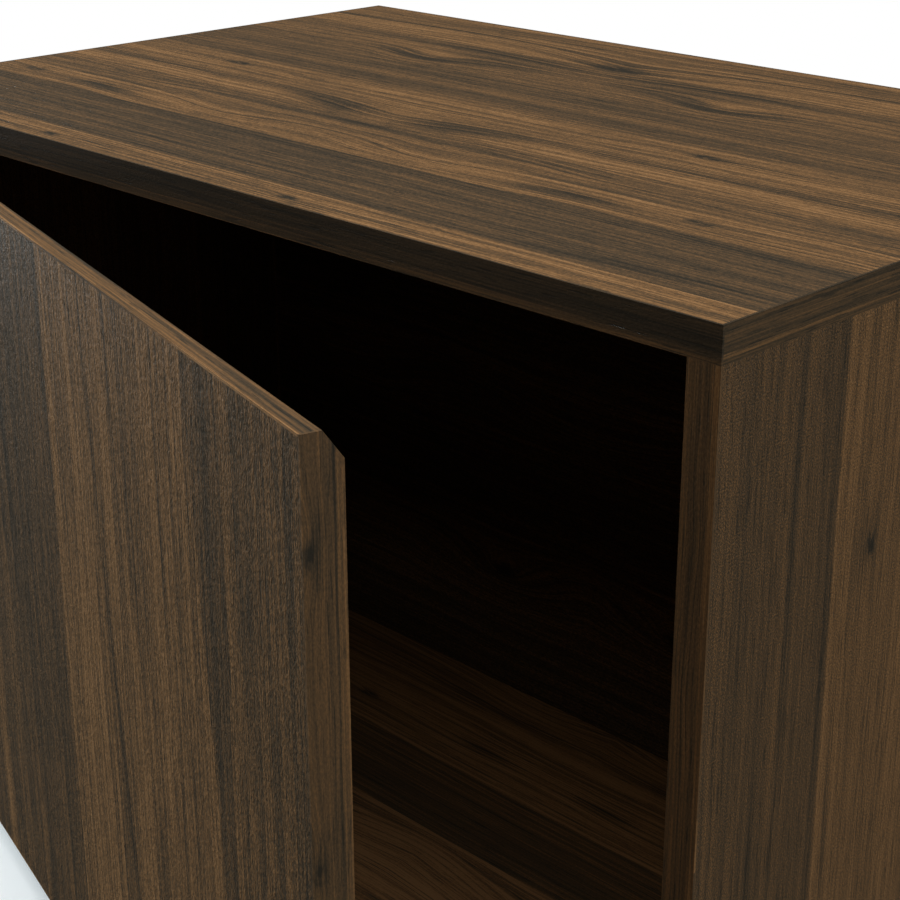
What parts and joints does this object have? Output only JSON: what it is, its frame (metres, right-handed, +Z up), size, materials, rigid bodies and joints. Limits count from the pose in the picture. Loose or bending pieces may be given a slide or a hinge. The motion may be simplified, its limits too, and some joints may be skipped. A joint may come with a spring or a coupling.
{
  "type": "cube storage unit",
  "caption": "Low walnut-laminate storage cube with full top and bottom panels, a recessed back and one inset side-hinged door, shown slightly open.",
  "frame": {"origin": "centre of the underside of the bottom panel", "axes": "+X to the right seen from the front, +Y from the front to the back, +Z up"},
  "size_m": [0.604, 0.5418, 0.412],
  "materials": {
    "walnut_laminate_horizontal": "satin walnut-pattern laminate, grain left to right",
    "walnut_laminate_side": "satin walnut-pattern laminate, upright grain",
    "walnut_laminate_door": "satin walnut-pattern laminate, upright grain",
    "edge_band": "satin walnut-pattern edge band, grain along the edge",
    "door_edge_band": "satin walnut-pattern edge band, grain along the edge",
    "hinge_steel": "nickel-plated, satin",
    "screw_steel": "zinc-plated",
    "catch_plastic": "moulded, matte",
    "magnet": "sintered, matt",
    "plated_steel": "zinc-plated",
    "cam_zinc": "die-cast zinc, plain",
    "bolt_steel": "yellow zinc-plated",
    "cap_plastic": "moulded, matte brown",
    "beech": "plain beech, straight-grained"
  },
  "bodies": {
    "carcass": {"back_panel": "walnut_laminate_horizontal", "bottom_back_band": "edge_band", "bottom_front_band": "edge_band", "bottom_left_band": "edge_band", "bottom_panel": "walnut_laminate_horizontal", "bottom_right_band": "edge_band", "cam_bolts": "bolt_steel", "cam_caps": "cap_plastic", "cam_locks": "cam_zinc", "catch_housing": "catch_plastic", "catch_magnet": "magnet", "catch_pole_plates": "plated_steel", "catch_screws": "screw_steel", "hinge_frame_screws": "screw_steel", "left_back_band": "edge_band", "left_front_band": "edge_band", "left_side": "walnut_laminate_side", "lower_hinge_frame_leaf": "hinge_steel", "lower_hinge_pin": "hinge_steel", "right_back_band": "edge_band", "right_front_band": "edge_band", "right_side": "walnut_laminate_side", "top_back_band": "edge_band", "top_front_band": "edge_band", "top_left_band": "edge_band", "top_panel": "walnut_laminate_horizontal", "top_right_band": "edge_band", "upper_hinge_frame_leaf": "hinge_steel", "upper_hinge_pin": "hinge_steel", "wood_dowels": "beech"},
    "door": {"door_bottom_band": "door_edge_band", "door_free_band": "door_edge_band", "door_hinge_band": "door_edge_band", "door_panel": "walnut_laminate_door", "door_top_band": "door_edge_band", "upper_hinge_door_leaf": "hinge_steel", "lower_hinge_door_leaf": "hinge_steel", "hinge_door_screws": "screw_steel", "strike_plate": "plated_steel", "strike_screws": "screw_steel"}
  },
  "joints": [
    {"name": "door_swing", "type": "hinge", "parent": "carcass", "child": "door", "pos_m": [-0.2855, -0.203, 0], "axis": [0, 0, -1], "range_deg": [-15, 165]}
  ]
}
